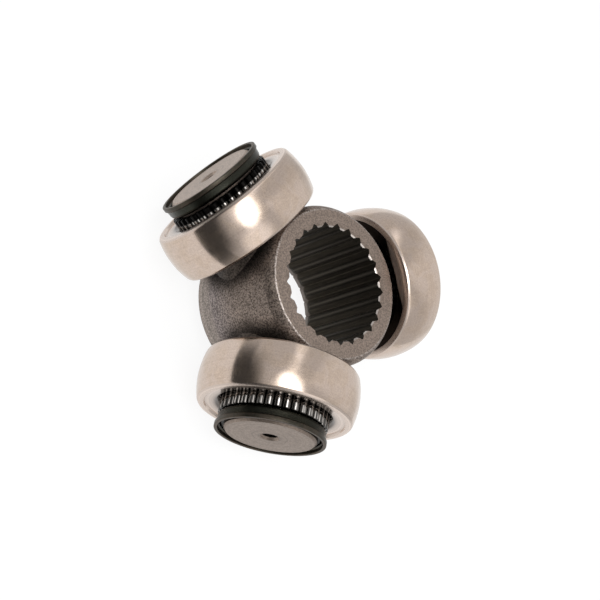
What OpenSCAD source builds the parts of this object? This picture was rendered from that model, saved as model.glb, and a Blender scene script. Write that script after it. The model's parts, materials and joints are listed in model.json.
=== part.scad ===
// Tripod of a constant-velocity plunging joint, in millimetres.
// The origin is where the three trunnion axes meet the axis of the splined bore.
// +Z runs along the bore to the front face. Leg A points to -Y, leg B to 150 degrees, leg C to 30 degrees.
// Each leg carries, from the hub outwards, a full set of needles, a rolling ring on the needles,
// a pressed retainer cup and a snap ring in the trunnion's groove.

/* [Hub] */
// Diameter of the hub at the trunnion axes
hub_d = 36.3; // [35.6:0.1:37]
// Radius of the hub's slight barrel shape, seen from the side
hub_crown_r = 170; // [120:1:300]
// Length from the trunnion axes to the front face
front_len = 13.4; // [13:0.1:15]
// Diameter of the front face
front_d = 32.8; // [32:0.1:33.4]
// Radius of the rounding from the flank to the front face
front_round_r = 5; // [4.6:0.1:5.6]
// Height from the centre of that rounding to the front face
front_round_h = 3.6; // [3.2:0.1:4]
// Width of the small chamfer round the front face
front_edge = 0.15; // [0.1:0.05:0.5]
// Length from the trunnion axes to the rear face
rear_len = 13.4; // [13:0.1:14.5]
// Radius of the rounding round the rear face
rear_edge_r = 1; // [0.5:0.1:2]

/* [Spline] */
// Number of teeth in the bore
spline_teeth = 25; // [20:1:28]
// Diameter over the crests of the teeth
spline_crest_d = 25; // [23:0.1:25.6]
// Depth of the grooves between the teeth
spline_depth = 1; // [0.6:0.05:1.05]
// Width of a groove at the crests
groove_w = 2.25; // [2.15:0.05:2.6]
// Pressure angle of the flanks at the crests
pressure_angle = 45; // [30:1:46]
// Chamfer on the front ends of the teeth
spline_entry = 0.3; // [0.2:0.05:0.9]
// Length of the tapered lead-in at the rear
lead_len = 2.7; // [1:0.1:4]
// Width that the lead-in gains up to the rear face, on the radius
lead_width = 0.8; // [0.3:0.05:1.2]

/* [Trunnions] */
// Diameter of the needle track on each trunnion
trunnion_d = 20.2; // [18.6:0.05:20.4]
// Height of the needle seat over the hub's flank
seat_h = 0.3; // [0.1:0.05:1.5]
// Radial clearance between the root boss and the roller's bore
boss_gap = 0.94; // [0.6:0.02:1.4]
// Radius of the blend from the boss into the hub's flank
root_fillet = 6.5; // [3.5:0.1:8]
// Length of the land outside the snap ring's groove
end_land = 1.15; // [0.8:0.05:2.5]
// Chamfer on the end of each trunnion
end_chamfer = 0.5; // [0.2:0.05:0.8]
// Diameter of the centre hole in each trunnion's end
centre_d = 3.3; // [2:0.1:5]
// Depth of the centre hole
centre_depth = 6; // [3:0.1:10]
// Width of the countersink round the centre hole
centre_sink = 0.6; // [0.2:0.05:1.5]

/* [Needles] */
// Diameter of a needle
needle_d = 1.8; // [1.5:0.05:2.1]
// Length of a needle
needle_len = 11.35; // [10.8:0.05:13]
// Chamfer on the ends of a needle
needle_chamfer = 0.2; // [0.05:0.05:0.4]
// Smallest gap between one needle and the next
needle_gap = 0.015; // [0.01:0.005:0.1]
// Radial clearance on either side of the needles
needle_play = 0.02; // [0.01:0.005:0.06]
// Clearance at each end of the needles
end_play = 0.05; // [0.02:0.01:0.2]

/* [Rollers] */
// Outer diameter of a roller at its middle
roller_d = 35.3; // [34.8:0.1:36.5]
// Width of a roller over its two lands
roller_w = 11; // [10.4:0.1:11.6]
// Radius of the rolling surface, seen from the side
roller_crown_r = 17.44; // [15:0.01:17.6]
// Length of the straight needle track in the bore
track_len = 8.4; // [7.6:0.1:9]
// Radial width of the chamfer at each mouth of the bore
mouth_w = 0.96; // [0.5:0.02:1.3]
// Depth of the flat recess inside each land
recess_depth = 0.6; // [0.2:0.05:0.9]
// Width of the sloping wall between that recess and the land
recess_wall = 0.2; // [0.05:0.05:0.5]
// How far the edge of the rolling surface lies inside the roller's radius
edge_in = 1.05; // [0.8:0.05:1.5]
// Radial width of the land
land_w = 1.2; // [0.6:0.05:1.4]
// How far the land falls back towards the rolling surface
land_fall = 0.15; // [0.05:0.01:0.3]
// Clearance that stays at each end of a roller's travel
stop_gap = 0.1; // [0.05:0.01:0.3]

/* [Retainers] */
// Thickness of the pressed sheet
cup_t = 0.75; // [0.5:0.05:0.9]
// Height of the cup
cup_h = 3.15; // [2.8:0.05:3.5]
// Radial clearance between the cup and its trunnion
cup_bore_gap = 0.1; // [0.05:0.01:0.2]
// Radial clearance between the cup's wall and the roller's bore
cup_gap = 0.09; // [0.05:0.01:0.3]
// Outside radius of the bend from the base to the wall
cup_bend_r = 0.9; // [0.3:0.05:1]
// How much the wall widens from the bend to the lip
cup_flare = 0.1; // [0:0.01:0.2]
// Height of the lip
lip_h = 1.15; // [0.7:0.05:1.3]
// How far the lip stands out from the wall
lip_out = 0.3; // [0.15:0.05:0.6]
// Chamfer round the edge of the lip
lip_edge = 0.12; // [0.05:0.01:0.3]

/* [Snap rings] */
// Width of the snap ring along the trunnion
clip_w = 1.2; // [0.8:0.05:1.6]
// Radial thickness of the snap ring
clip_t = 1.25; // [1:0.05:1.3]
// Radial clearance between the snap ring and the groove's floor
clip_gap = 0.02; // [0.01:0.01:0.1]
// How deep the groove is cut into the trunnion
clip_groove = 0.7; // [0.5:0.05:0.9]
// Angle of the opening in the snap ring
clip_open = 28; // [10:1:60]

/* [Rollers as they stand] */
// How far roller A stands out from its inner stop
roller_a_out = 0.05; // [0:0.05:4.5]
// How far roller B stands out from its inner stop
roller_b_out = 0.55; // [0:0.05:4.5]
// How far roller C stands out from its inner stop
roller_c_out = 1.05; // [0:0.05:4.5]

/* [Hidden] */
$fn = 96;
angle_a = -90;
angle_b = 150;
angle_c = 30;
legs = [angle_a, angle_b, angle_c];
over = 1;

// Hub
hub_r = hub_d / 2;
front_r = front_d / 2;
front_round_z = front_len - front_round_h;
front_round_x = front_r - sqrt(pow(front_round_r, 2) - pow(front_round_h, 2));
front_edge_slope = 0.5;

// Spline: the base circle of the flanks follows from the crest circle
crest_r = spline_crest_d / 2;
base_r = crest_r * cos(pressure_angle);
flank_steps = 3;

// Stack along a leg, measured from the bore's axis
trunnion_r = trunnion_d / 2;
seat_at = hub_r + seat_h;
needles_at = seat_at + end_play;
cup_at = needles_at + needle_len + end_play;
groove_at = cup_at + cup_t;
groove_w_axial = clip_w + 2 * end_play;
trunnion_end = groove_at + groove_w_axial + end_land;
groove_r = trunnion_r - clip_groove;
trunnion_from = crest_r / 2;

// Needles: as many as the pitch circle takes
needle_r = needle_d / 2;
pitch_r = trunnion_r + needle_play + needle_r;
needle_count = floor(180 / asin((needle_r + needle_gap / 2) / pitch_r));

// Roller
roller_bore_r = pitch_r + needle_r + needle_play;
mouth_r = roller_bore_r + mouth_w;
land_edge_r = roller_d / 2 - edge_in;
land_r = land_edge_r - land_w;
recess_r = land_r - recess_wall;
recess_at = roller_w / 2 - recess_depth;
edge_slope = 1.22;

// Root of a trunnion: the blend's arc touches the boss and dips a little below the hub's flank
root_dip = 0.2;
root_low_r = hub_r - root_dip;
boss_r = roller_bore_r - boss_gap;
root_centre_r = boss_r + root_fillet;
root_centre_at = sqrt(pow(root_low_r + root_fillet, 2) - pow(root_centre_r, 2));
root_blend_r = root_low_r * root_centre_r / (root_low_r + root_fillet);

// Retainer
cup_bore_r = trunnion_r + cup_bore_gap;
cup_wall_r = roller_bore_r - cup_gap;
lip_r = cup_wall_r + lip_out;
lip_at = cup_at + cup_h - lip_h;
lip_blend = lip_out;

// Travel of a roller, to the middle of its width: the hub stops it inwards, the cup's lip outwards
inner_stop = stop_gap + max([for (r = [roller_bore_r : 0.15 : land_r]) face_at(r) + hub_at(r)]);
outer_stop = lip_at - track_len / 2 - stop_gap;

// Radius of the hub's surface at a height over the trunnion axes, before the rear rounding
function barrel(z) = hub_r - hub_crown_r + sqrt(pow(hub_crown_r, 2) - z * z);

function front_flank(z) =
    z < front_round_z ? barrel(z)
    : z > front_len ? 0
    : min(barrel(z), front_round_x + sqrt(pow(front_round_r, 2) - pow(z - front_round_z, 2)));

function rear_flank(z) =
    z < rear_len - rear_edge_r ? barrel(z)
    : z > rear_len ? 0
    : barrel(rear_len) - rear_edge_r
      + sqrt(pow(rear_edge_r, 2) - pow(z - rear_len + rear_edge_r, 2));

// How far the hub reaches out along a leg, at a distance from the leg's axis
function hub_at(r) = max(front_flank(r), rear_flank(r));

// Half the roller's width at a radius on its side face
function face_at(r) =
    r < mouth_r ? track_len / 2 + (recess_at - track_len / 2) * (r - roller_bore_r) / mouth_w
    : recess_at + recess_depth * max(0, r - recess_r) / recess_wall;

// Half the width of a spline groove, on an involute flank
function involute(r) = tan(acos(base_r / r)) - acos(base_r / r) * PI / 180;
function groove_half(r) =
    r * sin(asin(groove_w / 2 / crest_r) - (involute(r) - involute(crest_r)) * 180 / PI);

// Points on an arc from one angle to another
function arc(x, y, r, from, to, steps) =
    [for (i = [0 : steps]) let (a = from + (to - from) * i / steps) [x + r * cos(a), y + r * sin(a)]];

// Stands a shape, drawn along Z, on a leg
module on_leg(angle) {
    rotate([0, 0, angle]) rotate([0, 90, 0]) children();
}

module hub_outline() {
    intersection() {
        translate([hub_r - hub_crown_r, 0]) circle(r = hub_crown_r, $fn = 720);
        polygon([
            [0, -rear_len],
            [hub_r + over, -rear_len],
            [hub_r + over, front_len - (hub_r + over - front_r + front_edge) * front_edge_slope],
            [front_r - front_edge, front_len],
            [0, front_len]
        ]);
        union() {
            translate([0, -rear_len]) square([hub_r + over, rear_len + front_round_z]);
            translate([0, -rear_len]) square([front_round_x, rear_len + front_len]);
            translate([front_round_x, front_round_z]) circle(r = front_round_r);
        }
    }
}

// The corner that the rear rounding takes off
module rear_corner() {
    at_r = barrel(rear_len) - rear_edge_r;
    difference() {
        translate([at_r, -rear_len - over]) square([rear_edge_r + over, rear_edge_r + over]);
        translate([at_r, rear_edge_r - rear_len]) circle(r = rear_edge_r);
    }
}

module hub() {
    rotate_extrude() difference() {
        hub_outline();
        rear_corner();
    }
}

// Cuts the splined bore: the crest cylinder, the grooves, the front chamfer and the rear lead-in
module spline_cut() {
    height = front_len + rear_len + 2 * over;
    translate([0, 0, -rear_len - over]) cylinder(r = crest_r, h = height);
    for (i = [0 : spline_teeth - 1]) rotate([0, 0, i * 360 / spline_teeth])
        translate([0, 0, -rear_len - over]) linear_extrude(height) groove_outline();
    translate([0, 0, front_len - spline_entry])
        cylinder(r1 = crest_r, r2 = crest_r + spline_entry + over, h = spline_entry + over);
    translate([0, 0, -rear_len - over])
        cylinder(r1 = crest_r + lead_width * (lead_len + over) / lead_len, r2 = crest_r,
                 h = lead_len + over);
}

module groove_outline() {
    radii = [for (i = [0 : flank_steps]) crest_r + spline_depth * i / flank_steps];
    inside = crest_r - over;
    polygon(concat(
        [[inside, groove_w / 2]],
        [for (r = radii) [sqrt(r * r - pow(groove_half(r), 2)), groove_half(r)]],
        [for (i = [flank_steps : -1 : 0]) let (r = radii[i])
            [sqrt(r * r - pow(groove_half(r), 2)), -groove_half(r)]],
        [[inside, -groove_w / 2]]
    ));
}

// A trunnion with its root boss, from inside the hub's wall to its end
module trunnion() {
    rotate_extrude() polygon([
        [0, trunnion_from],
        [boss_r, trunnion_from],
        [boss_r, seat_at],
        [trunnion_r, seat_at],
        [trunnion_r, groove_at],
        [groove_r, groove_at],
        [groove_r, groove_at + groove_w_axial],
        [trunnion_r, groove_at + groove_w_axial],
        [trunnion_r, trunnion_end - end_chamfer],
        [trunnion_r - end_chamfer, trunnion_end],
        [0, trunnion_end]
    ]);
}

// The blend between the boss and the hub's flank, which falls away on both sides of the trunnion
module root_blend() {
    rotate_extrude() difference() {
        translate([0, trunnion_from]) square([root_blend_r, root_centre_at - trunnion_from]);
        translate([root_centre_r, root_centre_at]) circle(r = root_fillet);
    }
}

module centre_hole() {
    translate([0, 0, trunnion_end - centre_depth]) cylinder(d = centre_d, h = centre_depth + over);
    translate([0, 0, trunnion_end - centre_sink])
        cylinder(d1 = centre_d, d2 = centre_d + 2 * (centre_sink + over), h = centre_sink + over);
    translate([0, 0, trunnion_end - centre_depth - centre_d / 4])
        cylinder(d1 = 0, d2 = centre_d, h = centre_d / 4);
}

module spider() {
    color([0.43, 0.40, 0.37]) difference() {
        union() {
            hub();
            for (angle = legs) on_leg(angle) {
                trunnion();
                root_blend();
            }
        }
        spline_cut();
        for (angle = legs) on_leg(angle) centre_hole();
    }
}

module roller(angle, out) {
    half = roller_w / 2;
    reach = roller_d / 2 + over;
    edge_half = half - land_fall - (reach - land_edge_r) * edge_slope;
    side = [[mouth_r, recess_at], [recess_r, recess_at], [land_r, half], [land_edge_r, half - land_fall],
            [reach, edge_half]];
    color([0.80, 0.75, 0.70]) on_leg(angle) translate([0, 0, inner_stop + out])
        rotate_extrude() intersection() {
            translate([roller_d / 2 - roller_crown_r, 0]) circle(r = roller_crown_r, $fn = 360);
            polygon(concat(
                [[roller_bore_r, track_len / 2]],
                side,
                [for (i = [len(side) - 1 : -1 : 0]) [side[i].x, -side[i].y]],
                [[roller_bore_r, -track_len / 2]]
            ));
        }
}

module needle() {
    blunt = needle_r - needle_chamfer;
    rotate_extrude() polygon([
        [0, 0],
        [blunt, 0],
        [needle_r, needle_chamfer],
        [needle_r, needle_len - needle_chamfer],
        [blunt, needle_len],
        [0, needle_len]
    ]);
}

module needles(angle) {
    color([0.78, 0.77, 0.75]) on_leg(angle) for (i = [0 : needle_count - 1])
        rotate([0, 0, (i + 0.5) * 360 / needle_count]) translate([pitch_r, 0, needles_at]) needle();
}

// The pressed cup: a flat base on the needles' ends, a bend, a flared wall and a lip
module retainer(angle) {
    top = cup_at + cup_h;
    wall_start_r = cup_wall_r - cup_flare;
    color([0.11, 0.11, 0.10]) on_leg(angle) rotate_extrude() polygon(concat(
        [[cup_bore_r, cup_at]],
        arc(wall_start_r - cup_bend_r, cup_at + cup_bend_r, cup_bend_r, -90, 0, 6),
        [[cup_wall_r, lip_at]],
        [[lip_r, lip_at + lip_blend]],
        [[lip_r, top - lip_edge]],
        [[lip_r - lip_edge, top]],
        [[lip_r - cup_t, top]],
        [[lip_r - cup_t, lip_at + lip_blend]],
        [[cup_wall_r - cup_t, lip_at]],
        [[wall_start_r - cup_t, groove_at]],
        [[cup_bore_r, groove_at]]
    ));
}

module snap_ring(angle) {
    inner_r = groove_r + clip_gap;
    color([0.30, 0.29, 0.27]) on_leg(angle) translate([0, 0, groove_at + end_play])
        rotate([0, 0, clip_open / 2])
        rotate_extrude(angle = 360 - clip_open)
        translate([inner_r, 0]) square([clip_t, clip_w]);
}

module roller_a() { roller(angle_a, roller_a_out); }
module roller_b() { roller(angle_b, roller_b_out); }
module roller_c() { roller(angle_c, roller_c_out); }
module needles_a() { needles(angle_a); }
module needles_b() { needles(angle_b); }
module needles_c() { needles(angle_c); }
module retainer_a() { retainer(angle_a); }
module retainer_b() { retainer(angle_b); }
module retainer_c() { retainer(angle_c); }
module snap_ring_a() { snap_ring(angle_a); }
module snap_ring_b() { snap_ring(angle_b); }
module snap_ring_c() { snap_ring(angle_c); }

spider();
roller_a();
roller_b();
roller_c();
needles_a();
needles_b();
needles_c();
retainer_a();
retainer_b();
retainer_c();
snap_ring_a();
snap_ring_b();
snap_ring_c();
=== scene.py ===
"""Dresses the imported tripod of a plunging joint: turned rollers, needle sets, pressed cups and machined steel."""

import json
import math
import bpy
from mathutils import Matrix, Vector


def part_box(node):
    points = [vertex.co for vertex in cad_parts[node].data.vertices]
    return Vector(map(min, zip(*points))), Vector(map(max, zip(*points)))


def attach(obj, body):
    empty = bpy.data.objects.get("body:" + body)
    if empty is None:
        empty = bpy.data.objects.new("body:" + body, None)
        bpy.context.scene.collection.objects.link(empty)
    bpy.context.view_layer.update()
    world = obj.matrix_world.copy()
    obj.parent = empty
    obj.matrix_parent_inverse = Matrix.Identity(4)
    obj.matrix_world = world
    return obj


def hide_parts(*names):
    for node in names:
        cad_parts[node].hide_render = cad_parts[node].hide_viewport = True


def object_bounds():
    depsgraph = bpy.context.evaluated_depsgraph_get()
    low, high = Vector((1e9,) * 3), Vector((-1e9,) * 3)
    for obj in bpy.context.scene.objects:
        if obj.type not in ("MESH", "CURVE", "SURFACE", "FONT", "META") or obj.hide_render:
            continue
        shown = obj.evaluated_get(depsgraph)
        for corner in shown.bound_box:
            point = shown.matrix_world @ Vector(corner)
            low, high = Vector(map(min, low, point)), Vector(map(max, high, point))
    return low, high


bl_info = {
    "name": "Tripod Joint",
    "version": (1, 0, 0),
    "blender": (4, 5, 0),
    "location": "3D View > Sidebar > Tripod Joint",
    "description": "Models the rollers, needles and cups of a tripod joint and finishes its steel",
    "category": "Object",
}

import bpy
from bpy.props import FloatProperty, FloatVectorProperty, IntProperty, PointerProperty
from mathutils import Quaternion, Vector

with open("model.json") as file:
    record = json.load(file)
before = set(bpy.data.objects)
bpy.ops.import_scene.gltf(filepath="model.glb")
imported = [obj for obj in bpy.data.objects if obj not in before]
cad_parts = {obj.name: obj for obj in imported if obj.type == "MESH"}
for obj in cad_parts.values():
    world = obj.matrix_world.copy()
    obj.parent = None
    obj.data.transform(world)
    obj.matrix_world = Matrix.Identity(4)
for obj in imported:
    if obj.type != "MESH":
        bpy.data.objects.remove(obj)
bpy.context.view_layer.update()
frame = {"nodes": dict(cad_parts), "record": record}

MM = 0.001
LEG_ANGLES = {"a": math.radians(-90), "b": math.radians(150), "c": math.radians(30)}
TURNED = "turned"


# Places from the frame. Leg A lies along Y, so its boxes give the sizes of what all three legs carry.

def half_sizes(node):
    low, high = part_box(node)
    return (high - low) / 2


def station(node):
    """Distance of a turned part's middle from the bore's axis, along its leg."""
    low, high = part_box(node)
    return ((low + high) / 2).length


ROLLER = half_sizes("roller_a")
NEEDLES = half_sizes("needles_a")
CUP = half_sizes("retainer_a")
TRUNNION_END = -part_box("spider")[0].y
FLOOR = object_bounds()[0].z


def mount(name):
    """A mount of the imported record."""
    return next(m for m in frame["record"]["mounts"] if m["name"] == name)


# Places on the spider in millimetres, for its finish
FRONT_FACE = mount("hub_front_face")["pos_m"][2] / MM
REAR_FACE = -mount("hub_rear_face")["pos_m"][2] / MM
CREST_RADIUS = mount("spline_bore")["dims"]["r_mm"]
ROOT_RADIUS = CREST_RADIUS + 1.0
SPLINE_TEETH = 25
LEAD_LENGTH, LEAD_WIDTH = 2.7, 0.8
RIM_RADIUS = 16.2
BOSS_RADIUS = 11.0
TRUNNION_RADIUS = 10.1
SEAT_AT = 18.45
HOLE_RADIUS = 1.65


def length_prop(name, description, default, **more):
    return FloatProperty(name=name, description=description, default=default, min=0, precision=5,
                         subtype="DISTANCE", unit="LENGTH", **more)


def colour_prop(name, description, default):
    return FloatVectorProperty(name=name, description=description, default=default, min=0, max=1,
                               size=3, subtype="COLOR")


def share_prop(name, description, default):
    return FloatProperty(name=name, description=description, default=default, min=0, max=1, subtype="FACTOR")


class RollerSettings(bpy.types.PropertyGroup):
    radius: length_prop("Radius", "Outer radius at the roller's middle", ROLLER.x)
    half_width: length_prop("Half width", "Half the width over the two lands", ROLLER.y)
    crown_radius: length_prop("Crown radius", "Radius of the rolling surface, seen from the side", 17.44 * MM)
    bore_radius: length_prop("Bore radius", "Radius of the needle track in the bore", 11.94 * MM)
    track_half: length_prop("Half track", "Half the length of the straight needle track", 4.2 * MM)
    mouth_width: length_prop("Mouth width", "Radial width of the chamfer at each mouth of the bore", 0.96 * MM)
    recess_depth: length_prop("Recess depth", "Depth of the flat recess inside each land", 0.6 * MM)
    recess_wall: length_prop("Recess wall", "Width of the sloping wall of the recess", 0.2 * MM)
    land_width: length_prop("Land width", "Radial width of the land", 1.2 * MM)
    land_fall: length_prop("Land fall", "How far the land falls back at its outer edge", 0.15 * MM)
    edge_in: length_prop("Edge inset", "How far the land's edge lies inside the radius", 1.05 * MM)
    edge_drop: length_prop("Edge drop", "Height of the chamfer from the land to the rolling surface", 0.42 * MM)
    edge_round: length_prop("Edge rounding", "Width of the small rounding on every edge", 0.09 * MM)
    steps: IntProperty(name="Steps", description="Steps of the full turn", default=160, min=48, max=256)
    colour: colour_prop("Steel", "Colour of the ground rolling surface", (0.62, 0.505, 0.43))
    side_colour: colour_prop("Side faces", "Colour of the turned side faces", (0.63, 0.53, 0.465))
    gloss: share_prop("Roughness", "Roughness of the rolling surface", 0.14)


class NeedleSettings(bpy.types.PropertyGroup):
    count: IntProperty(name="Needles", description="Needles in one full set", default=38, min=12, max=60)
    radius: length_prop("Radius", "Radius of a needle", 0.9 * MM)
    pitch_radius: length_prop("Pitch radius", "Radius of the circle through the needles' axes", 11.02 * MM)
    half_length: length_prop("Half length", "Half the length of a needle", NEEDLES.y)
    end_round: length_prop("End rounding", "Rounding at the ends of a needle", 0.22 * MM)
    colour: colour_prop("Steel", "Colour of the needles", (0.50, 0.47, 0.44))
    gloss: share_prop("Roughness", "Roughness of the needles", 0.07)


class RetainerSettings(bpy.types.PropertyGroup):
    lip_radius: length_prop("Lip radius", "Outer radius of the cup at its lip", CUP.x)
    half_height: length_prop("Half height", "Half the height of the cup", CUP.y)
    sheet: length_prop("Sheet", "Thickness of the pressed sheet", 0.75 * MM)
    bore_radius: length_prop("Bore radius", "Radius of the hole for the trunnion", 10.2 * MM)
    bend_radius: length_prop("Bend radius", "Outside radius of the bend from the base to the wall", 0.9 * MM)
    flare: length_prop("Flare", "How much the wall widens from the bend to the lip", 0.1 * MM)
    lip_out: length_prop("Lip step", "How far the lip stands out from the wall", 0.3 * MM)
    lip_height: length_prop("Lip height", "Height of the lip", 1.15 * MM)
    lip_round: length_prop("Lip rounding", "Rounding along the lip's edges", 0.16 * MM)
    steps: IntProperty(name="Steps", description="Steps of the full turn", default=144, min=48, max=256)
    colour: colour_prop("Blackening", "Colour of the blackened steel", (0.03, 0.031, 0.025))
    worn_colour: colour_prop("Worn edge", "Colour of the lip where the black has worn thin", (0.09, 0.07, 0.054))


class SpiderSettings(bpy.types.PropertyGroup):
    flank_colour: colour_prop("Flank", "Colour of the grainy flank of the hub", (0.23, 0.186, 0.158))
    rear_colour: colour_prop("Rear band", "Colour of the turned band at the rear of the hub", (0.34, 0.295, 0.265))
    face_colour: colour_prop("Faces", "Colour of the hub's front and rear faces", (0.295, 0.236, 0.199))
    # Painted shade: the near-black colour stands for the shade inside the bore
    bore_shade_colour: colour_prop("Bore", "Colour of the broached bore", (0.034, 0.029, 0.022))
    # Painted highlight along the crests of the teeth
    crest_highlight_colour: colour_prop("Crests", "Colour of the rubbed crests of the teeth", (0.085, 0.074, 0.059))
    # Painted shade round the trunnion roots, where the rollers overhang the hub
    root_shade_colour: colour_prop("Roots", "Colour of the oiled corners round the trunnions", (0.026, 0.022, 0.018))
    end_colour: colour_prop("Trunnion ends", "Colour of the trunnions' turned end faces", (0.275, 0.22, 0.183))
    # Painted light: leg B's end face is made brighter than the others, standing for the light it catches
    end_painted_light: FloatVectorProperty(name="End brightness", default=(1.0, 1.45, 1.0), min=0, max=2, size=3,
                                        description="How bright the ends of legs A, B and C are")
    # Painted highlight: this light colour stands for glints on the teeth's front chamfers and on the front rim
    entry_glint_colour: colour_prop("Tooth ends", "Colour of the chamfered front ends of the teeth", (0.62, 0.56, 0.52))
    snap_ring_colour: colour_prop("Snap rings", "Colour of the blackened snap rings", (0.03, 0.028, 0.026))


class StudioSettings(bpy.types.PropertyGroup):
    azimuth: FloatProperty(name="Azimuth", description="Direction the camera looks from, round the bore's axis",
                           default=math.radians(-53.257), subtype="ANGLE")
    elevation: FloatProperty(name="Elevation", description="Height of the camera over the rollers' plane",
                             default=math.radians(48.7003), subtype="ANGLE")
    roll: FloatProperty(name="Roll", description="Turn of the camera about its own line of sight",
                        default=math.radians(71.6145), subtype="ANGLE")
    distance: length_prop("Distance", "Distance from the camera to the middle of the bore", 0.2957)
    lens: FloatProperty(name="Lens", description="Focal length in millimetres", default=80.12, min=10)
    shift_x: FloatProperty(name="Shift X", description="Sideways shift of the picture", default=0.0053)
    shift_y: FloatProperty(name="Shift Y", description="Upward shift of the picture", default=-0.0063)
    surround: FloatProperty(name="Surround", description="Strength of the light from the tent", default=0.62, min=0)
    softbox_power: FloatProperty(name="Lamp", description="Power in watts of the lamp that lights the floor",
                                 default=0.8, min=0)
    softbox_size: length_prop("Lamp size", "Width of the lamp that lights the floor", 0.28)
    softbox_distance: length_prop("Lamp distance", "Distance of the lamp from the part", 0.4)
    panel: FloatProperty(name="Panel", description="Brightness of the panel that the steel reflects",
                         default=5.5, min=0)
    panel_distance: length_prop("Panel distance", "Distance of the panel from the part", 0.2)
    panel_width: length_prop("Panel width", "Half the width of the panel", 0.075)
    panel_height: length_prop("Panel height", "Half the height of the panel", 0.055)


# Modelling helpers

def deselect():
    bpy.ops.object.select_all(action="DESELECT")


def pick(piece):
    """Makes one piece the selected and active one."""
    deselect()
    piece.select_set(True)
    bpy.context.view_layer.objects.active = piece


def turn_section(name, section, steps):
    """Extrudes a vertex round a closed half-section of (radius, height) points and spins it about Z."""
    deselect()
    bpy.ops.mesh.primitive_plane_add(size=MM, location=(0, 0, 0))
    piece = bpy.context.object
    piece.name = piece.data.name = name
    bpy.ops.object.mode_set(mode="EDIT")
    bpy.ops.mesh.select_mode(type="VERT")
    bpy.ops.mesh.merge(type="CENTER")
    corners = [Vector((radius, 0, height)) for radius, height in section]
    bpy.ops.transform.translate(value=corners[0])
    for here, there in zip(corners, corners[1:] + corners[:1]):
        bpy.ops.mesh.extrude_region_move(TRANSFORM_OT_translate={"value": there - here})
    bpy.ops.mesh.select_all(action="SELECT")
    bpy.ops.mesh.spin(steps=steps, angle=2 * math.pi, center=(0, 0, 0), axis=(0, 0, 1))
    bpy.ops.mesh.select_all(action="SELECT")
    bpy.ops.mesh.remove_doubles(threshold=0.001 * MM)
    bpy.ops.mesh.normals_make_consistent(inside=False)
    bpy.ops.object.mode_set(mode="OBJECT")
    return piece


def round_edges(piece, width, segments, sharp_angle):
    """Rounds the sharp edges with a bevel and shades what is left of them smooth."""
    bevel = piece.modifiers.new("edge rounding", "BEVEL")
    bevel.width = width
    bevel.segments = segments
    bevel.limit_method = "ANGLE"
    bevel.angle_limit = sharp_angle
    pick(piece)
    bpy.ops.object.modifier_apply(modifier=bevel.name)
    bpy.ops.object.shade_smooth_by_angle(angle=math.radians(50))


def keep_turned_places(piece):
    """Stores each point's place on the turning axis, in millimetres, for finishes that follow the turning."""
    places = piece.data.attributes.new(TURNED, "FLOAT_VECTOR", "POINT")
    places.data.foreach_set("vector", [value / MM for vertex in piece.data.vertices for value in vertex.co])


def stand_on_leg(master, name, node, body):
    """Copies a part turned about Z onto the leg whose CAD node it stands for."""
    angle = LEG_ANGLES[node[-1]]
    piece = master.copy()
    piece.data = master.data.copy()
    piece.name = piece.data.name = name
    bpy.context.collection.objects.link(piece)
    piece.rotation_euler = (0, math.pi / 2, angle)
    piece.location = Vector((math.cos(angle), math.sin(angle), 0)) * station(node)
    pick(piece)
    bpy.ops.object.transform_apply(location=True, rotation=True, scale=True)
    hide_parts(node)
    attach(piece, body)
    return piece


def remove(piece):
    bpy.data.objects.remove(piece)


def arc(centre, radius, start, end, steps):
    """Points on an arc, between two angles in degrees."""
    angles = [math.radians(start + (end - start) * step / steps) for step in range(steps + 1)]
    return [(centre[0] + radius * math.cos(a), centre[1] + radius * math.sin(a)) for a in angles]


# Material helpers

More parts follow.
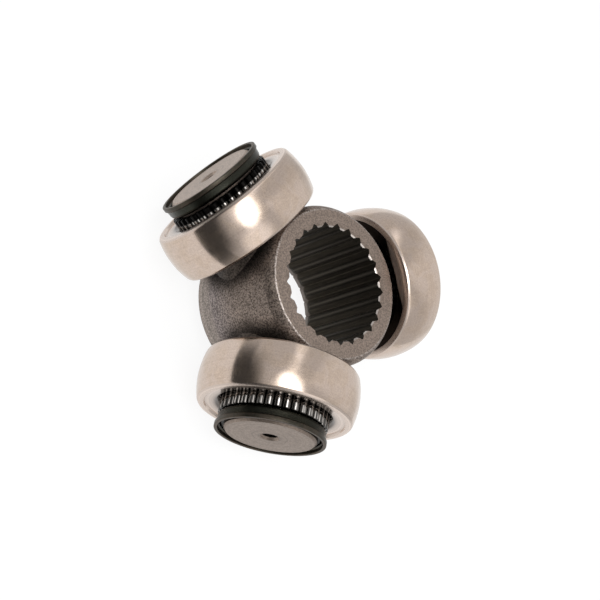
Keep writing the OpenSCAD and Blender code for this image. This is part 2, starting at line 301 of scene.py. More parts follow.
class Bench:
    """A node tree with short ways to add the nodes that the finishes need."""

    def __init__(self, tree):
        self.tree = tree
        self.count = 0

    def add(self, kind, inputs=None, **settings):
        node = self.tree.nodes.new("ShaderNode" + kind)
        node.location = (self.count % 12 * 190, -(self.count // 12) * 260)
        self.count += 1
        for name, value in settings.items():
            setattr(node, name, value)
        for name, value in (inputs or {}).items():
            self.join(value, node.inputs[name])
        return node

    def join(self, value, socket):
        if isinstance(value, bpy.types.NodeSocket):
            self.tree.links.new(value, socket)
        else:
            socket.default_value = value

    def math(self, operation, *values):
        return self.add("Math", dict(enumerate(values)), operation=operation).outputs[0]

    def vector(self, operation, *values):
        return self.add("VectorMath", dict(enumerate(values)), operation=operation)

    def scaled(self, vector, factor):
        return self.add("VectorMath", {"Vector": vector, "Scale": factor}, operation="SCALE").outputs[0]

    def split(self, vector):
        return self.add("SeparateXYZ", {0: vector}).outputs

    def ramp(self, value, low, high, start=0.0, end=1.0):
        """Runs smoothly from start to end as the value goes from low to high, either way round."""
        if low > high:
            low, high, start, end = high, low, end, start
        return self.add("MapRange", {"Value": value, "From Min": low, "From Max": high, "To Min": start,
                                     "To Max": end}, interpolation_type="SMOOTHSTEP").outputs[0]

    def noise(self, vector, scale, detail=3.0, roughness=0.55):
        return self.add("TexNoise", {"Vector": vector, "Scale": scale, "Detail": detail,
                                     "Roughness": roughness}).outputs[0]

    def mix(self, factor, below, above):
        node = self.add("Mix", data_type="RGBA")
        self.join(factor, node.inputs[0])
        self.join(rgba(below), node.inputs[6])
        self.join(rgba(above), node.inputs[7])
        return node.outputs[2]

    def blend(self, factor, below, above):
        return self.add("Mix", {0: factor, 2: below, 3: above}, data_type="FLOAT").outputs[0]

    def tinted(self, colour, factor):
        """A colour made lighter or darker by a factor."""
        node = self.add("VectorMath", {"Scale": factor}, operation="SCALE")
        self.join(colour if isinstance(colour, bpy.types.NodeSocket) else tuple(colour), node.inputs[0])
        return node.outputs[0]

    def group(self, group, **inputs):
        node = self.add("Group", node_tree=group)
        for name, value in inputs.items():
            self.join(value, node.inputs[name])
        return node.outputs

    def both(self, *masks):
        result = masks[0]
        for mask in masks[1:]:
            result = self.math("MULTIPLY", result, mask)
        return result

    def either(self, *masks):
        result = masks[0]
        for mask in masks[1:]:
            result = self.math("MAXIMUM", result, mask)
        return result


def rgba(colour):
    if isinstance(colour, bpy.types.NodeSocket):
        return colour
    return (*colour, 1.0)[:4]


def start_group(name, inputs, outputs):
    """An empty node group with float, vector or colour sockets, as a bench and its two ends."""
    group = bpy.data.node_groups.new(name, "ShaderNodeTree")
    for socket_name, kind, default in inputs:
        socket = group.interface.new_socket(socket_name, in_out="INPUT", socket_type="NodeSocket" + kind)
        if default is not None:
            socket.default_value = default
    for socket_name, kind in outputs:
        group.interface.new_socket(socket_name, in_out="OUTPUT", socket_type="NodeSocket" + kind)
    bench = Bench(group)
    start = group.nodes.new("NodeGroupInput")
    end = group.nodes.new("NodeGroupOutput")
    return bench, start.outputs, end.inputs


def turning_lines_group():
    """Fine lines left by a turning or grinding tool, across a distance in millimetres."""
    if "Turning Lines" in bpy.data.node_groups:
        return bpy.data.node_groups["Turning Lines"]
    bench, given, out = start_group(
        "Turning Lines",
        [("Point", "Vector", None), ("Across", "Float", 0.0), ("Spacing", "Float", 0.1)],
        [("Height", "Float"), ("Tone", "Float")])
    position = bench.math("DIVIDE", given["Across"], given["Spacing"])
    lines = bench.add("TexNoise", {"W": position, "Scale": 1.0, "Detail": 2.0, "Roughness": 0.7},
                      noise_dimensions="1D").outputs[0]
    broad = bench.add("TexNoise", {"W": position, "Scale": 0.13, "Detail": 1.0}, noise_dimensions="1D").outputs[0]
    fade = bench.ramp(bench.noise(given["Point"], 0.35, 2.0), 0.3, 0.7, 0.45, 1.0)
    bench.join(bench.both(lines, fade), out["Height"])
    bench.join(bench.ramp(bench.blend(0.5, lines, broad), 0.32, 0.68), out["Tone"])
    return bench.tree


def steel_grit_group():
    """The grain of forged or blasted steel, as a height."""
    if "Steel Grit" in bpy.data.node_groups:
        return bpy.data.node_groups["Steel Grit"]
    bench, given, out = start_group(
        "Steel Grit", [("Point", "Vector", None), ("Size", "Float", 0.3)], [("Height", "Float")])
    scale = bench.math("DIVIDE", 1.0, given["Size"])
    grain = bench.add("TexNoise", {"Vector": given["Point"], "Scale": scale, "Detail": 4.0,
                                   "Roughness": 0.62}).outputs[0]
    pits = bench.add("TexVoronoi", {"Vector": given["Point"], "Scale": bench.math("MULTIPLY", scale, 0.8),
                                    "Randomness": 1.0}).outputs["Distance"]
    bench.join(bench.blend(0.35, grain, bench.ramp(pits, 0.0, 0.6)), out["Height"])
    return bench.tree


def patina_group():
    """Broad stains of oil, heat and handling."""
    if "Handling Patina" in bpy.data.node_groups:
        return bpy.data.node_groups["Handling Patina"]
    bench, given, out = start_group(
        "Handling Patina", [("Point", "Vector", None), ("Size", "Float", 5.0)],
        [("Stain", "Float"), ("Smudge", "Float")])
    scale = bench.math("DIVIDE", 1.0, given["Size"])
    broad = bench.add("TexNoise", {"Vector": given["Point"], "Scale": scale, "Detail": 3.0,
                                   "Distortion": 0.6}).outputs[0]
    small = bench.add("TexNoise", {"Vector": given["Point"], "Scale": bench.math("MULTIPLY", scale, 4.3),
                                   "Detail": 2.0}).outputs[0]
    bench.join(bench.ramp(broad, 0.35, 0.65), out["Stain"])
    bench.join(bench.ramp(bench.blend(0.4, broad, small), 0.45, 0.62), out["Smudge"])
    return bench.tree


def leg_axis_group():
    """Where a point lies on a leg: its distance out along the leg and from the leg's axis, in millimetres."""
    if "Leg Axis" in bpy.data.node_groups:
        return bpy.data.node_groups["Leg Axis"]
    bench, given, out = start_group(
        "Leg Axis", [("Point", "Vector", None), ("Angle", "Float", 0.0)],
        [("Station", "Float"), ("Radius", "Float"), ("Turned", "Vector")])
    back = bench.math("MULTIPLY", given["Angle"], -1.0)
    turned = bench.add("VectorRotate", {"Vector": given["Point"], "Angle": back}, rotation_type="Z_AXIS").outputs[0]
    x, y, z = bench.split(turned)
    across = bench.add("CombineXYZ", {"X": y, "Y": z})
    bench.join(x, out["Station"])
    bench.join(bench.vector("LENGTH", across.outputs[0]).outputs["Value"], out["Radius"])
    bench.join(bench.add("CombineXYZ", {"X": y, "Y": z, "Z": x}).outputs[0], out["Turned"])
    return bench.tree


def start_material(name):
    """A material with one Principled shader, and the bench to build on."""
    material = bpy.data.materials.new(name)
    material.use_nodes = True
    bench = Bench(material.node_tree)
    shader = material.node_tree.nodes["Principled BSDF"]
    shader.inputs["Metallic"].default_value = 1.0
    return material, bench, shader


def turned_places(bench):
    """The stored place of a turned part: the point, its radius and its height on the axis, in millimetres."""
    point = bench.add("Attribute", attribute_name=TURNED).outputs["Vector"]
    x, y, z = bench.split(point)
    flat = bench.add("CombineXYZ", {"X": x, "Y": y}).outputs[0]
    return point, bench.vector("LENGTH", flat).outputs["Value"], z


def bump(bench, shader, height, depth):
    """Feeds a height, as a share of a depth in millimetres, to the shader's normal."""
    node = bench.add("Bump", {"Strength": 1.0, "Distance": depth * MM, "Height": height})
    bench.join(node.outputs[0], shader.inputs["Normal"])


def rolling_steel(roller):
    """Bearing steel: a ground rolling surface between turned side faces."""
    material, bench, shader = start_material("ground_bearing_steel")
    point, radius, height = turned_places(bench)
    edge = (roller.radius - roller.edge_in) / MM
    land = edge - roller.land_width / MM
    side = bench.ramp(radius, edge + 0.35, edge + 0.15)
    recess = bench.ramp(radius, land + 0.02, land - 0.1)
    inner = bench.ramp(radius, roller.bore_radius / MM + 0.9, roller.bore_radius / MM + 0.2)
    hubward = bench.ramp(height, 1.0, -1.0)
    # The turned X axis points down, so this is the part of the ring that stands higher than the hub, where the
    # hub-side recess gets painted light
    lit_over_hub = bench.ramp(bench.split(point)[0], -12.3, -13.1)
    grinding = bench.group(turning_lines_group(), Point=point, Across=height, Spacing=0.07)
    facing = bench.group(turning_lines_group(), Point=point, Across=radius, Spacing=0.11)
    grit = bench.group(steel_grit_group(), Point=point, Size=0.16)
    patina = bench.group(patina_group(), Point=point, Size=4.0)

    ground = bench.tinted(roller.colour, bench.ramp(patina["Smudge"], 0.0, 1.0, 1.0, 0.93))
    ground = bench.tinted(ground, bench.ramp(grinding["Tone"], 0.0, 1.0, 0.96, 1.03))
    ground = bench.tinted(ground, bench.ramp(bench.noise(point, 2.9, 2.0, 0.7), 0.34, 0.66, 0.94, 1.06))
    ground = bench.mix(bench.math("MULTIPLY", patina["Stain"], 0.5), ground, bench.vector(
        "MULTIPLY", ground, (1.03, 0.99, 0.90)).outputs[0])
    faced = bench.tinted(roller.side_colour, bench.ramp(facing["Tone"], 0.0, 1.0, 0.86, 1.14))
    faced = bench.tinted(faced, bench.ramp(grit["Height"], 0.3, 0.7, 0.9, 1.1))
    # Painted shade in the recess: darker towards the bore on the outer side. On the hub side it is dark, except for
    # a painted lit patch where the ring stands higher than the hub
    outward_painted_shade = bench.ramp(radius, land - 2.9, land - 1.3, 0.12, 0.95)
    hubward_painted_shade_and_light = bench.ramp(lit_over_hub, 0.0, 1.0, 0.12, 1.1)
    faced = bench.tinted(faced, bench.blend(recess, 1.0, bench.blend(hubward, outward_painted_shade, hubward_painted_shade_and_light)))
    colour = bench.mix(side, ground, faced)
    # Painted shade: the bore's mouth and needle track are darkened to about a quarter of the side faces' colour
    colour = bench.mix(inner, colour, tuple(0.27 * value for value in roller.side_colour))
    bench.join(colour, shader.inputs["Base Color"])

    polish = bench.math("ADD", roller.gloss, bench.ramp(patina["Stain"], 0.0, 1.0, 0.0, 0.06))
    dull = bench.blend(recess, bench.ramp(grit["Height"], 0.3, 0.7, 0.24, 0.32),
                       bench.blend(bench.both(hubward, lit_over_hub), 0.17, 0.5))
    bench.join(bench.blend(side, polish, dull), shader.inputs["Roughness"])
    lines = bench.blend(side, bench.math("MULTIPLY", grinding["Height"], 0.25),
                        bench.math("MULTIPLY", facing["Height"], bench.blend(recess, 1.0, 0.2)))
    bump(bench, shader, bench.math("ADD", lines, bench.math("MULTIPLY", grit["Height"], 0.15)), 0.004)
    return material


def needle_steel(needle):
    """Polished needles, with painted shade at their ends and along their sides, and a painted highlight line on
    each crest.
    """
    material, bench, shader = start_material("polished_needle_steel")
    point, radius, height = turned_places(bench)
    patina = bench.group(patina_group(), Point=point, Size=1.4)
    grit = bench.group(steel_grit_group(), Point=point, Size=0.12)
    foot = -needle.half_length / MM
    crown = (needle.pitch_radius + needle.radius) / MM
    place = bench.scaled(bench.add("TexCoord").outputs["Object"], 1 / MM)
    leg_b = bench.group(leg_axis_group(), Point=place, Angle=LEG_ANGLES["b"])["Station"]
    # Painted shade: the inner ends of all needles and the outer ends of leg B's needles are painted near black
    shaded = bench.either(bench.ramp(height, foot + 1.6, foot + 1.1),
                         bench.both(bench.ramp(leg_b, 12.0, 14.0), bench.ramp(height, -foot - 1.45, -foot - 1.2)))
    # Painted highlight and shade: only a thin line along each needle's outer crest keeps the full colour, and the
    # sides are painted dark
    painted_lit_crest = bench.ramp(radius, crown - 0.05, crown - 0.015)
    colour = bench.tinted(needle.colour, bench.ramp(patina["Stain"], 0.0, 1.0, 0.8, 1.1))
    colour = bench.mix(painted_lit_crest, tuple(0.22 * value for value in needle.colour), colour)
    bench.join(bench.tinted(colour, bench.blend(shaded, 1.0, 0.03)), shader.inputs["Base Color"])
    polish = bench.math("ADD", needle.gloss, bench.math("MULTIPLY", painted_lit_crest, 0.12))
    bench.join(bench.blend(shaded, polish, 0.45), shader.inputs["Roughness"])
    bump(bench, shader, grit["Height"], 0.001)
    return material


def blackened_cup_steel(cup):
    """Pressed steel with a semi-gloss black oxide, worn thin along the lip."""
    material, bench, shader = start_material("blackened_cup_steel")
    point, radius, height = turned_places(bench)
    top = cup.half_height / MM
    lip_line = top - cup.lip_height / MM
    patina = bench.group(patina_group(), Point=point, Size=2.5)
    grit = bench.group(steel_grit_group(), Point=point, Size=0.14)
    drawing = bench.group(turning_lines_group(), Point=point, Across=height, Spacing=0.09)
    rim = bench.ramp(height, top - 0.22, top - 0.02)
    shoulder = bench.both(bench.ramp(height, lip_line + 0.1, lip_line + 0.3),
                          bench.ramp(height, lip_line + 0.5, lip_line + 0.35))
    lip = bench.math("MULTIPLY", bench.ramp(height, lip_line, lip_line + 0.3), 0.5)
    worn = bench.both(bench.either(rim, lip, bench.math("MULTIPLY", shoulder, 0.8)),
                      bench.ramp(patina["Smudge"], 0.0, 1.0, 1.0, 0.45))
    colour = bench.mix(worn, cup.colour, cup.worn_colour)
    colour = bench.tinted(colour, bench.ramp(grit["Height"], 0.3, 0.7, 0.7, 1.3))
    bench.join(colour, shader.inputs["Base Color"])
    polish = bench.ramp(patina["Stain"], 0.0, 1.0, 0.26, 0.36)
    bench.join(bench.blend(worn, polish, 0.5), shader.inputs["Roughness"])
    bump(bench, shader, bench.math("ADD", grit["Height"], bench.math("MULTIPLY", drawing["Height"], 0.6)), 0.003)
    return material


def spider_steel(spider):
    """Forged steel, machined where it works: faces, bore, needle tracks and trunnion ends."""
    material, bench, shader = start_material("machined_spider_steel")
    point = bench.scaled(bench.add("TexCoord").outputs["Object"], 1 / MM)
    x, y, z = bench.split(point)
    radius = bench.vector("LENGTH", bench.add("CombineXYZ", {"X": x, "Y": y}).outputs[0]).outputs["Value"]
    front, rear = FRONT_FACE, REAR_FACE
    grit = bench.group(steel_grit_group(), Point=point, Size=0.34)
    fine_grit = bench.group(steel_grit_group(), Point=point, Size=0.13)
    patina = bench.group(patina_group(), Point=point, Size=6.0)
    band_lines = bench.group(turning_lines_group(), Point=point, Across=z, Spacing=0.16)
    face_lines = bench.group(turning_lines_group(), Point=point, Across=radius, Spacing=0.12)
    squeezed = bench.add("Mapping", {"Vector": point, "Scale": (1.0, 1.0, 0.05)}).outputs[0]
    broach = bench.noise(squeezed, 6.0, 2.0)

    speckle = bench.noise(point, 2.7, 2.0, 0.7)
    flank = bench.tinted(spider.flank_colour, bench.ramp(speckle, 0.36, 0.64, 0.5, 1.7))
    flank = bench.tinted(flank, bench.ramp(patina["Stain"], 0.0, 1.0, 0.88, 1.12))
    cooler = bench.vector("MULTIPLY", flank, (0.94, 1.0, 1.12)).outputs[0]
    flank = bench.mix(bench.ramp(z, 2.0, -8.0), flank, cooler)
    rough = bench.ramp(grit["Height"], 0.3, 0.7, 0.42, 0.56)
    relief = grit["Height"]

    on_rear_band = bench.ramp(z, -7.0, -9.5)
    banded = bench.tinted(spider.rear_colour, bench.ramp(band_lines["Tone"], 0.0, 1.0, 0.78, 1.2))
    banded = bench.tinted(banded, bench.ramp(speckle, 0.36, 0.64, 0.7, 1.35))
    colour = bench.mix(on_rear_band, flank, banded)
    relief = bench.blend(on_rear_band, relief, band_lines["Height"])

    legs = [bench.group(leg_axis_group(), Point=point, Angle=angle) for angle in LEG_ANGLES.values()]
    # Painted shade: the hub darkens towards each trunnion's boss and blend, where the rollers shade it, and the
    # boss itself is painted near black
    root_shades = []
    for leg in legs:
        blend = bench.ramp(leg["Radius"], BOSS_RADIUS + 4.2, BOSS_RADIUS + 0.9, 0.0, 0.7)
        boss = bench.ramp(leg["Radius"], BOSS_RADIUS + 0.15, BOSS_RADIUS + 0.03)
        root_shades.append(bench.both(bench.either(blend, boss), bench.ramp(leg["Station"], 6.0, 9.0)))
    root_shade = bench.both(bench.either(*root_shades), bench.ramp(bench.math("ABSOLUTE", z), 10.8, 8.8))
    colour = bench.mix(root_shade, colour, bench.tinted(spider.root_shade_colour, bench.ramp(speckle, 0.36, 0.64, 0.5, 1.7)))
    rough = bench.blend(root_shade, rough, 0.6)

    on_faces = bench.either(bench.ramp(z, front - 0.12, front - 0.03), bench.ramp(z, -rear + 0.12, -rear + 0.03))
    faced = bench.tinted(spider.face_colour, bench.ramp(face_lines["Tone"], 0.0, 1.0, 0.96, 1.04))
    faced = bench.tinted(faced, bench.ramp(speckle, 0.36, 0.64, 0.75, 1.25))
    colour = bench.mix(on_faces, colour, faced)
    rough = bench.blend(on_faces, rough, bench.ramp(fine_grit["Height"], 0.3, 0.7, 0.38, 0.5))
    relief = bench.blend(on_faces, relief, bench.blend(0.5, face_lines["Height"], fine_grit["Height"]))

    # Painted shade: the bore is painted near black as the shade inside it, with painted light making it lighter
    # towards the groove roots to even out the shade there
    in_bore = bench.both(bench.ramp(radius, ROOT_RADIUS + 0.35, ROOT_RADIUS + 0.1),
                         bench.ramp(bench.math("ABSOLUTE", z), front - 0.04, front - 0.1))
    shaded_bore = bench.tinted(spider.bore_shade_colour, bench.ramp(broach, 0.35, 0.65, 0.8, 1.2))
    turn = bench.math("FRACT", bench.math("MULTIPLY", bench.math("ARCTAN2", y, x), SPLINE_TEETH / (2 * math.pi)))
    # Painted highlight: a thin lighter line along the middle of each tooth crest
    tooth_crest_highlight = bench.both(bench.ramp(radius, CREST_RADIUS + 0.06, CREST_RADIUS + 0.02),
                       ring_mask(bench, turn, 0.5, 0.12))
    shaded_bore = bench.tinted(shaded_bore, bench.ramp(radius, CREST_RADIUS + 0.1, CREST_RADIUS + 0.4, 1.0, 1.9))
    shaded_bore = bench.mix(tooth_crest_highlight, shaded_bore, spider.crest_highlight_colour)
    taper = LEAD_WIDTH / LEAD_LENGTH
    cone = bench.math("MULTIPLY_ADD", z, -taper, CREST_RADIUS - (rear - LEAD_LENGTH) * taper)
    on_lead = bench.both(bench.ramp(z, 1.9 - rear, 1.1 - rear),
                         bench.ramp(bench.math("SUBTRACT", radius, cone), -0.2, -0.08))
    shaded_bore = bench.mix(on_lead, shaded_bore, bench.tinted(spider.rear_colour, 0.65))
    colour = bench.mix(in_bore, colour, shaded_bore)
    rough = bench.blend(in_bore, rough, 0.6)
    # Painted highlight: the chamfered front ends of the teeth get a light colour for glints
    entry_glint = bench.both(bench.ramp(z, front - 0.32, front - 0.28), bench.ramp(z, front - 0.01, front - 0.04),
                          bench.ramp(radius, CREST_RADIUS + 0.35, CREST_RADIUS + 0.3))
    colour = bench.mix(entry_glint, colour, spider.entry_glint_colour)
    rough = bench.blend(entry_glint, rough, 0.25)
    # Painted highlight: a broken light line along the outer edge of the front face
    rim_highlight = bench.both(bench.ramp(radius, RIM_RADIUS, RIM_RADIUS + 0.08), bench.ramp(z, front - 0.25, front - 0.1),
                        bench.ramp(speckle, 0.42, 0.6, 0.1, 0.8))
    colour = bench.mix(rim_highlight, colour, spider.entry_glint_colour)

    end = TRUNNION_END / MM
    # Painted light: each end's colour is scaled by its leg's brightness, lighter on leg B
    for leg, brightness in zip(legs, spider.end_painted_light):
        on_track = bench.both(bench.ramp(leg["Radius"], TRUNNION_RADIUS + 0.4, TRUNNION_RADIUS + 0.2),
                              bench.ramp(leg["Station"], SEAT_AT - 0.15, SEAT_AT - 0.05))
        on_end = bench.both(on_track, bench.ramp(leg["Station"], end - 0.56, end - 0.48))
        # Painted shade: the centre hole in each trunnion end is painted near black
        shaded_hole = bench.both(bench.ramp(leg["Radius"], HOLE_RADIUS + 0.1, HOLE_RADIUS + 0.01),
                             bench.ramp(leg["Station"], 20.0, 21.0))
        rings = bench.group(turning_lines_group(), Point=leg["Turned"], Across=leg["Radius"], Spacing=0.14)
        band = bench.either(ring_mask(bench, leg["Radius"], 2.45, 0.16), ring_mask(bench, leg["Radius"], 3.8, 0.14))
        tone = bench.math("SUBTRACT", bench.ramp(rings["Tone"], 0.0, 1.0, 0.9, 1.1),
                          bench.both(band, bench.ramp(speckle, 0.4, 0.6, 0.15, 0.45)))
        ended = bench.tinted(bench.tinted([brightness * value for value in spider.end_colour], tone),
                             bench.ramp(speckle, 0.36, 0.64, 0.82, 1.2))
        colour = bench.mix(on_track, colour, tuple(0.6 * value for value in spider.face_colour))
        colour = bench.mix(on_end, colour, ended)
        colour = bench.mix(shaded_hole, colour, tuple(0.3 * value for value in spider.bore_shade_colour))
        rough = bench.blend(on_end, rough, bench.ramp(fine_grit["Height"], 0.3, 0.7, 0.32, 0.46))
        relief = bench.blend(on_end, relief, bench.blend(0.4, rings["Height"], fine_grit["Height"]))
    bench.join(colour, shader.inputs["Base Color"])
    bench.join(rough, shader.inputs["Roughness"])
    bump(bench, shader, relief, 0.03)
    return material


def ring_mask(bench, radius, middle, half_width):
    """A soft ring at a radius."""
    away = bench.math("ABSOLUTE", bench.math("SUBTRACT", radius, middle))
    return bench.ramp(away, half_width, 0.0)


def snap_ring_steel(spider):
    """Blackened spring steel, rubbed a little at the surface."""
    material, bench, shader = start_material("blackened_spring_steel")
    point = bench.scaled(bench.add("TexCoord").outputs["Object"], 1 / MM)
    patina = bench.group(patina_group(), Point=point, Size=2.0)
    grit = bench.group(steel_grit_group(), Point=point, Size=0.15)
    bench.join(bench.tinted(spider.snap_ring_colour, bench.ramp(patina["Stain"], 0.0, 1.0, 0.8, 1.6)),
               shader.inputs["Base Color"])
    bench.join(bench.ramp(grit["Height"], 0.3, 0.7, 0.34, 0.5), shader.inputs["Roughness"])
    bump(bench, shader, grit["Height"], 0.004)
    return material


def roller_section(roller):
    """Half-section of a roller: track, mouth, recess, land and edge, round the crown, and back."""
    mouth = roller.bore_radius + roller.mouth_width
    land_edge = roller.radius - roller.edge_in
    land = land_edge - roller.land_width
    recess = roller.half_width - roller.recess_depth
    side = [
        (roller.bore_radius, roller.track_half),
        (mouth, recess),
        (land - roller.recess_wall, recess),
        (land, roller.half_width),
        (land_edge, roller.half_width - roller.land_fall),
    ]
    crown_end = roller.half_width - roller.land_fall - roller.edge_drop
    crown_steps = 28
    crown = []
    for step in range(crown_steps + 1):
        height = crown_end * (1 - 2 * step / crown_steps)
        sag = roller.crown_radius - math.sqrt(roller.crown_radius ** 2 - height ** 2)
        crown.append((roller.radius - sag, height))
    return side + crown + [(radius, -height) for radius, height in reversed(side)]


def cup_section(cup):
    """Half-section of a retainer cup: base, bend, flared wall, step and rounded lip, then back inside."""
    base, top = -cup.half_height, cup.half_height
    wall = cup.lip_radius - cup.lip_out
    wall_foot = wall - cup.flare
    lip_foot = top - cup.lip_height
    inside = cup.lip_radius - cup.sheet
    bend = arc((wall_foot - cup.bend_radius, base + cup.bend_radius), cup.bend_radius, -90, 0, 8)
    step = cup.lip_out
    out = [(wall, lip_foot), (wall + 0.12 * step, lip_foot + 0.3 * step),
           (wall + 0.88 * step, lip_foot + 0.7 * step), (cup.lip_radius, lip_foot + step)]
    lip = arc((cup.lip_radius - cup.lip_round, top - cup.lip_round), cup.lip_round, 0, 90, 4)
    lip += arc((inside + cup.lip_round, top - cup.lip_round), cup.lip_round, 90, 180, 4)
    back = [(inside, lip_foot + step), (wall - cup.sheet, lip_foot), (wall_foot - cup.sheet, base + cup.sheet),
            (cup.bore_radius, base + cup.sheet)]
    return [(cup.bore_radius, base)] + bend + out + lip + back


class TRIPOD_OT_rollers(bpy.types.Operator):
    """Turn the three crowned rollers and stand one on each leg"""
    bl_idname = "tripod.rollers"
    bl_label = "Turn Rollers"
    bl_options = {"REGISTER", "UNDO"}

    def execute(self, context):
        roller = context.scene.tripod_roller
        master = turn_section("roller_blank", roller_section(roller), roller.steps)
        round_edges(master, roller.edge_round, 3, math.radians(16))
        keep_turned_places(master)
        steel = rolling_steel(roller)
        for leg in LEG_ANGLES:
            piece = stand_on_leg(master, "crowned_roller_" + leg, "roller_" + leg, "roller_" + leg)
            piece.data.materials.append(steel)
        remove(master)
        return {"FINISHED"}


class TRIPOD_OT_needles(bpy.types.Operator):
    """Set a full row of needles round each trunnion"""
    bl_idname = "tripod.needles"
    bl_label = "Set Needles"
    bl_options = {"REGISTER", "UNDO"}

    def execute(self, context):
        needle = context.scene.tripod_needle
        first = math.pi / needle.count
        deselect()
        bpy.ops.mesh.primitive_cylinder_add(
            vertices=14, radius=needle.radius, depth=2 * needle.half_length,
            location=(needle.pitch_radius * math.cos(first), needle.pitch_radius * math.sin(first), 0))
        master = context.object
        master.name = "needle_blank"
        bpy.ops.object.transform_apply(location=True, rotation=True, scale=True)
        bpy.ops.object.mode_set(mode="EDIT")
        bpy.ops.mesh.select_mode(type="EDGE")
        bpy.ops.mesh.select_all(action="DESELECT")
        bpy.ops.object.mode_set(mode="OBJECT")
        points = master.data.vertices
        for edge in master.data.edges:
            start, end = (points[i].co for i in edge.vertices)
            edge.select = abs(start.z - end.z) < 0.01 * MM
        bpy.ops.object.mode_set(mode="EDIT")
        bpy.ops.mesh.bevel(offset=needle.end_round, segments=2)
        bpy.ops.mesh.select_all(action="SELECT")
        bpy.ops.mesh.spin(steps=needle.count - 1, dupli=True, angle=2 * math.pi * (needle.count - 1) / needle.count,
                          center=(0, 0, 0), axis=(0, 0, 1))
        bpy.ops.mesh.select_all(action="SELECT")
        bpy.ops.mesh.normals_make_consistent(inside=False)
        bpy.ops.object.mode_set(mode="OBJECT")
        bpy.ops.object.shade_smooth_by_angle(angle=math.radians(50))
        keep_turned_places(master)
        steel = needle_steel(needle)
        for leg in LEG_ANGLES:
            piece = stand_on_leg(master, "needle_set_" + leg, "needles_" + leg, "needles_" + leg)
            piece.data.materials.append(steel)
        remove(master)
        return {"FINISHED"}


class TRIPOD_OT_retainers(bpy.types.Operator):
    """Form the three retainer cups that hold the needles in"""
    bl_idname = "tripod.retainers"
    bl_label = "Press Retainer Cups"
    bl_options = {"REGISTER", "UNDO"}

    def execute(self, context):
        cup = context.scene.tripod_retainer
        master = turn_section("cup_blank", cup_section(cup), cup.steps)
        round_edges(master, 0.05 * MM, 2, math.radians(40))
        keep_turned_places(master)
        steel = blackened_cup_steel(cup)
        for leg in LEG_ANGLES:
            piece = stand_on_leg(master, "retainer_cup_" + leg, "retainer_" + leg, "retainer_" + leg)
            piece.data.materials.append(steel)
        remove(master)
        return {"FINISHED"}


def give_material(node, material):
    """Puts a finish in a CAD node's material slots."""
    slots = frame["nodes"][node].data.materials
    slots.clear()
    slots.append(material)


class TRIPOD_OT_spider(bpy.types.Operator):
    """Finish the spider and the snap rings with their steels"""
    bl_idname = "tripod.spider"
    bl_label = "Finish Spider and Snap Rings"
    bl_options = {"REGISTER", "UNDO"}

    def execute(self, context):
        spider = context.scene.tripod_spider
        give_material("spider", spider_steel(spider))
        spring = snap_ring_steel(spider)
        for leg in LEG_ANGLES:
            give_material("snap_ring_" + leg, spring)
        return {"FINISHED"}


TENT_RADIUS = 0.7
SKIRT_RADIUS = 0.1
SKIRT_TOP = 0.025
# Where things stand round the part, as azimuth from +X and elevation in degrees
SOFTBOX_AT = (-140, 63)
WINDOW_AT = (-68, 44)
STREAK = ((92, 32), (128, 62))
DOORWAY_AT = (-148, 0)
PALE_WALL_AT = (24, 0)


def direction(azimuth, elevation):
    azimuth, elevation = math.radians(azimuth), math.radians(elevation)
    level = math.cos(elevation)
    return Vector((math.cos(azimuth) * level, math.sin(azimuth) * level, math.sin(elevation)))


def toward(bench, point, place, outer, inner):
    """A soft spot round a direction, from none at the outer angle to full at the inner one, in degrees."""
    facing = bench.vector("DOT_PRODUCT", point, tuple(direction(*place))).outputs["Value"]
    return bench.ramp(facing, math.cos(math.radians(outer)), math.cos(math.radians(inner)))


def tent_cloth(studio):
    """Cloth that glows evenly, dark at the doorway, brighter round the softbox, the window and the pale wall."""
    material = bpy.data.materials.new("tent_cloth")
    material.use_nodes = True
    bench = Bench(material.node_tree)
    point = bench.vector("NORMALIZE", bench.add("TexCoord").outputs["Object"]).outputs[0]
    x, y, z = bench.split(point)
    level = bench.vector("NORMALIZE", bench.add("CombineXYZ", {"X": x, "Y": y}).outputs[0]).outputs[0]
    doorway = bench.both(toward(bench, level, DOORWAY_AT, 82, 15), bench.ramp(z, 0.72, 0.2))
    strength = bench.math("MULTIPLY", studio.surround, bench.ramp(doorway, 0.0, 1.0, 1.0, 0.1))
    across = direction(*STREAK[0]).cross(direction(*STREAK[1])).normalized()
    off_line = bench.math("ABSOLUTE", bench.vector("DOT_PRODUCT", point, tuple(across)).outputs["Value"])
    streak = bench.both(bench.ramp(off_line, 0.16, 0.0), toward(bench, point, STREAK[1], 62, 25))
    spots = ((toward(bench, point, SOFTBOX_AT, 27, 12), 0.6),
             (toward(bench, point, WINDOW_AT, 28, 8), 0.6),
             (streak, 0.75),
             (toward(bench, level, PALE_WALL_AT, 44, 6), 0.24))
    for spot, extra in spots:
        strength = bench.math("ADD", strength, bench.math("MULTIPLY", spot, extra))
    glow = bench.add("Emission", {"Color": (1, 1, 1, 1), "Strength": strength}).outputs[0]
    bench.join(glow, material.node_tree.nodes["Material Output"].inputs["Surface"])
    return material


def show_white(bench, seen_shader, lit_shader):
    """Mixes two shaders: the first for the camera and for reflections, the second for all other light."""
    path = bench.add("LightPath").outputs
    seen = bench.either(*(path[f"Is {kind} Ray"] for kind in ("Camera", "Glossy", "Transmission")))
    return bench.add("MixShader", {0: seen, 1: lit_shader, 2: seen_shader}).outputs[0]


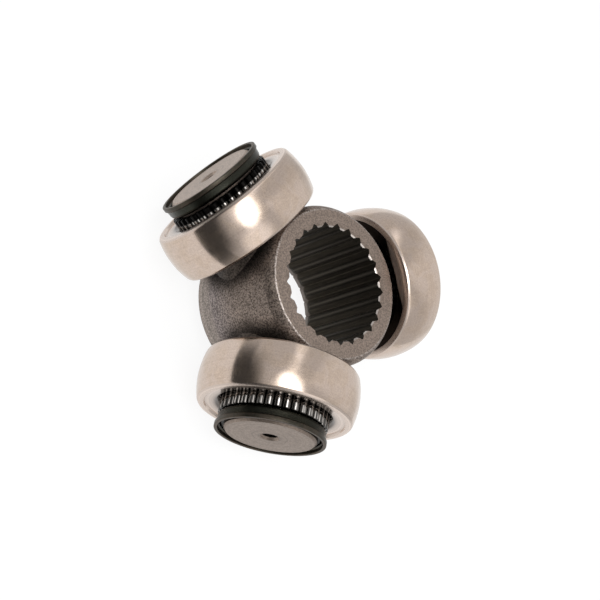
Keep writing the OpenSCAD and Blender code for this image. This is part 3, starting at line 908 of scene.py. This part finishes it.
class TRIPOD_OT_studio(bpy.types.Operator):
    """Set up the camera, the pale floor and the soft lights"""
    bl_idname = "tripod.studio"
    bl_label = "Set Up Studio"
    bl_options = {"REGISTER", "UNDO"}

    def execute(self, context):
        studio = context.scene.tripod_studio
        self.camera(context, studio)
        self.floor()
        self.softbox(context, studio)
        self.panel(studio)
        self.tent(studio)
        self.background(context)
        context.scene.view_settings.view_transform = "Standard"
        return {"FINISHED"}

    def camera(self, context, studio):
        data = bpy.data.cameras.new("camera")
        data.lens = studio.lens
        data.shift_x = studio.shift_x
        data.shift_y = studio.shift_y
        data.clip_start = 10 * MM
        camera = bpy.data.objects.new("camera", data)
        context.collection.objects.link(camera)
        level = math.cos(studio.elevation)
        back = Vector((math.sin(studio.azimuth) * level, -math.cos(studio.azimuth) * level,
                       math.sin(studio.elevation)))
        camera.location = back * studio.distance
        camera.rotation_mode = "QUATERNION"
        camera.rotation_quaternion = (-back).to_track_quat("-Z", "Y") @ Quaternion((0, 0, 1), studio.roll)
        context.scene.camera = camera

    def floor(self):
        deselect()
        bpy.ops.mesh.primitive_plane_add(size=4, location=(0, 0, FLOOR - 0.05 * MM))
        floor = bpy.context.object
        floor.name = "floor"
        material = bpy.data.materials.new("pale_floor")
        material.use_nodes = True
        bench = Bench(material.node_tree)
        plain = bench.add("BsdfDiffuse", {"Color": (0.14, 0.14, 0.14, 1)}).outputs[0]
        strength = bench.blend(bench.add("LightPath").outputs["Is Glossy Ray"], 0.88, 0.8)
        glow = bench.add("Emission", {"Color": (1, 1, 1, 1), "Strength": strength}).outputs[0]
        shown = bench.add("AddShader", {0: plain, 1: glow}).outputs[0]
        output = material.node_tree.nodes["Material Output"]
        bench.join(show_white(bench, shown, plain), output.inputs["Surface"])
        floor.data.materials.append(material)

    def softbox(self, context, studio):
        data = bpy.data.lights.new("softbox", "AREA")
        data.energy = studio.softbox_power
        data.size = studio.softbox_size
        lamp = bpy.data.objects.new("softbox", data)
        context.collection.objects.link(lamp)
        overhead = direction(*SOFTBOX_AT)
        lamp.location = overhead * studio.softbox_distance
        lamp.rotation_mode = "QUATERNION"
        lamp.rotation_quaternion = overhead.to_track_quat("Z", "Y")
        lamp.visible_glossy = lamp.visible_camera = False

    def panel(self, studio):
        """The near panel with soft edges that the steel reflects. Nothing else sees it."""
        overhead = direction(*SOFTBOX_AT)
        deselect()
        bpy.ops.mesh.primitive_plane_add(size=4 * studio.panel_width, location=overhead * studio.panel_distance,
                                         rotation=overhead.to_track_quat("Z", "Y").to_euler())
        panel = bpy.context.object
        panel.name = "softbox_panel"
        material = bpy.data.materials.new("softbox_panel")
        material.use_nodes = True
        bench = Bench(material.node_tree)
        x, y, z = bench.split(bench.add("TexCoord").outputs["Object"])
        across = bench.add("CombineXYZ", {"X": bench.math("DIVIDE", x, studio.panel_width),
                                          "Y": bench.math("DIVIDE", y, studio.panel_height)}).outputs[0]
        inside = bench.ramp(bench.vector("LENGTH", across).outputs["Value"], 1.25, 0.0)
        glow = bench.add("Emission", {"Strength": bench.math("MULTIPLY", inside, studio.panel)}).outputs[0]
        clear = bench.add("BsdfTransparent").outputs[0]
        shown = bench.add("AddShader", {0: glow, 1: clear}).outputs[0]
        bench.join(shown, material.node_tree.nodes["Material Output"].inputs["Surface"])
        panel.data.materials.append(material)
        panel.visible_camera = panel.visible_diffuse = panel.visible_shadow = False

    def tent(self, studio):
        """A tent of pale cloth with a dark doorway, and a low near skirt of it. Only the part sees them."""
        cloth = tent_cloth(studio)
        deselect()
        bpy.ops.mesh.primitive_uv_sphere_add(segments=48, ring_count=24, radius=TENT_RADIUS)
        tent = bpy.context.object
        tent.name = "tent"
        bpy.ops.mesh.primitive_cylinder_add(vertices=96, radius=SKIRT_RADIUS, depth=SKIRT_TOP - FLOOR,
                                            end_fill_type="NOTHING", location=(0, 0, (SKIRT_TOP + FLOOR) / 2))
        skirt = bpy.context.object
        skirt.name = "tent_skirt"
        bpy.ops.object.transform_apply(location=True, rotation=True, scale=True)
        skirt.visible_diffuse = skirt.visible_shadow = False
        for piece in (tent, skirt):
            piece.data.materials.append(cloth)
            piece.visible_camera = False
        tent.visible_shadow = False

    def background(self, context):
        world = bpy.data.worlds.new("background")
        world.use_nodes = True
        context.scene.world = world
        bench = Bench(world.node_tree)
        white = world.node_tree.nodes["Background"]
        white.inputs["Strength"].default_value = 1.0
        white.inputs["Color"].default_value = (1, 1, 1, 1)
        soft = bench.add("Background", {"Color": (1, 1, 1, 1), "Strength": 0.6}).outputs[0]
        bench.join(show_white(bench, white.outputs[0], soft),
                   world.node_tree.nodes["World Output"].inputs["Surface"])


STEPS = [TRIPOD_OT_rollers, TRIPOD_OT_needles, TRIPOD_OT_retainers, TRIPOD_OT_spider, TRIPOD_OT_studio]
SETTINGS = {
    "tripod_roller": RollerSettings,
    "tripod_needle": NeedleSettings,
    "tripod_retainer": RetainerSettings,
    "tripod_spider": SpiderSettings,
    "tripod_studio": StudioSettings,
}


class TRIPOD_PT_panel(bpy.types.Panel):
    """Lists the steps and their settings"""
    bl_idname = "TRIPOD_PT_panel"
    bl_label = "Tripod Joint"
    bl_space_type = "VIEW_3D"
    bl_region_type = "UI"
    bl_category = "Tripod Joint"

    def draw(self, context):
        for step, (name, group) in zip(STEPS, SETTINGS.items()):
            box = self.layout.box()
            box.operator(step.bl_idname)
            settings = getattr(context.scene, name)
            for prop in group.__annotations__:
                box.prop(settings, prop)


CLASSES = [*SETTINGS.values(), *STEPS, TRIPOD_PT_panel]


def register():
    for cls in CLASSES:
        bpy.utils.register_class(cls)
    for name, group in SETTINGS.items():
        setattr(bpy.types.Scene, name, PointerProperty(type=group))


def unregister():
    for name in SETTINGS:
        delattr(bpy.types.Scene, name)
    for cls in reversed(CLASSES):
        bpy.utils.unregister_class(cls)


def main():
    register()
    bpy.ops.tripod.rollers()
    bpy.ops.tripod.needles()
    bpy.ops.tripod.retainers()
    bpy.ops.tripod.spider()
    bpy.ops.tripod.studio()


if __name__ == "__main__":
    main()
